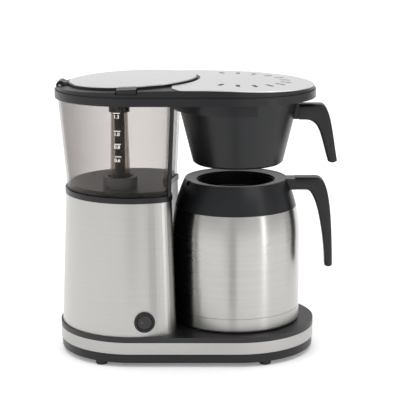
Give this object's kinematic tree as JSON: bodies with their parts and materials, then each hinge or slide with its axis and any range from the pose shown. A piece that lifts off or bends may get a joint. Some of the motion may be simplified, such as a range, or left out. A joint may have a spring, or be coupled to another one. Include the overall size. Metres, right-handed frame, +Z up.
{
  "type": "drip coffee maker",
  "caption": "Drip coffee maker with a smoke-clear tank on a steel tower, a lift-up lid, a slide-out filter basket under a slotted head, and a double-walled steel carafe on its base.",
  "frame": {"origin": "centre of the overall box on the plane of the feet", "axes": "+Z up, +X from the tank towards the carafe, +Y from the front to the back"},
  "size_m": [0.313, 0.173, 0.31],
  "materials": {
    "steel": "fine vertical brush, satin",
    "zinc_steel": "bright zinc",
    "cast_aluminium": "as cast",
    "black_plastic": "fine satin moulding texture",
    "white_plastic": "satin",
    "brass_can": "dull",
    "red_lens": "clear gloss",
    "wire_sleeve": "woven sleeve",
    "smoke_clear": "clear smoke-tinted plastic",
    "silicone": "matt translucent silicone",
    "rubber": "matt"
  },
  "bodies": {
    "machine": {"rubber_feet": "rubber", "base_pan": "black_plastic", "base_band": "steel", "base_deck": "black_plastic", "base_screws": "zinc_steel", "cord_gland": "rubber", "tower_shell": "steel", "tower_side_panel": "black_plastic", "tower_chassis": "black_plastic", "corner_post": "black_plastic", "button_bezel": "black_plastic", "switch_body": "black_plastic", "terminal_block": "white_plastic", "wire_harness": "wire_sleeve", "heater_casting": "cast_aluminium", "heater_tube": "cast_aluminium", "heater_bracket": "zinc_steel", "thermostat": "brass_can", "thermal_fuse": "white_plastic", "valve_body": "white_plastic", "inlet_hose": "silicone", "valve_hose": "silicone", "outlet_hose": "silicone", "hose_clamps": "zinc_steel", "tank_ring": "black_plastic", "tank_floor": "black_plastic", "tank_gasket": "silicone", "tank_shell": "smoke_clear", "gauge_tube": "smoke_clear", "gauge_cap": "black_plastic", "riser_tube": "silicone", "housing_lower": "black_plastic", "housing_cover": "black_plastic", "top_plate": "steel", "housing_screws": "zinc_steel", "spreader_pipe": "silicone", "shower_head": "black_plastic", "basket_rails": "black_plastic", "hinge_pin": "zinc_steel"},
    "lid": {"lid_frame": "black_plastic", "lid_plate": "steel"},
    "basket": {"filter_basket": "black_plastic", "basket_handle": "black_plastic", "basket_screws": "zinc_steel"},
    "carafe": {"carafe_shell": "steel", "carafe_base": "steel", "carafe_liner": "steel", "carafe_neck": "steel", "carafe_collar": "black_plastic", "carafe_handle": "black_plastic", "carafe_screws": "zinc_steel"},
    "button": {"power_button": "black_plastic", "indicator_lens": "red_lens"},
    "valve_ball": {"valve_ball": "zinc_steel"}
  },
  "joints": [
    {"name": "lid_hinge", "type": "hinge", "parent": "machine", "child": "lid", "pos_m": [-0.1492, 0, 0.3005], "axis": [0, -1, 0], "range_deg": [0, 100]},
    {"name": "basket_slide", "type": "slide", "parent": "machine", "child": "basket", "axis": [1, 0, 0], "range_m": [0, 0.165]},
    {"name": "carafe_slide", "type": "slide", "parent": "machine", "child": "carafe", "axis": [1, 0, 0], "range_m": [0, 0.17]},
    {"name": "power_button_press", "type": "slide", "parent": "machine", "child": "button", "axis": [-0.1736, 0.9848, 0], "range_m": [0, 0.002], "stiffness_N_per_m": 600},
    {"name": "valve_ball_lift", "type": "slide", "parent": "machine", "child": "valve_ball", "axis": [0, 0, 1], "range_m": [0, 0.0025]}
  ]
}
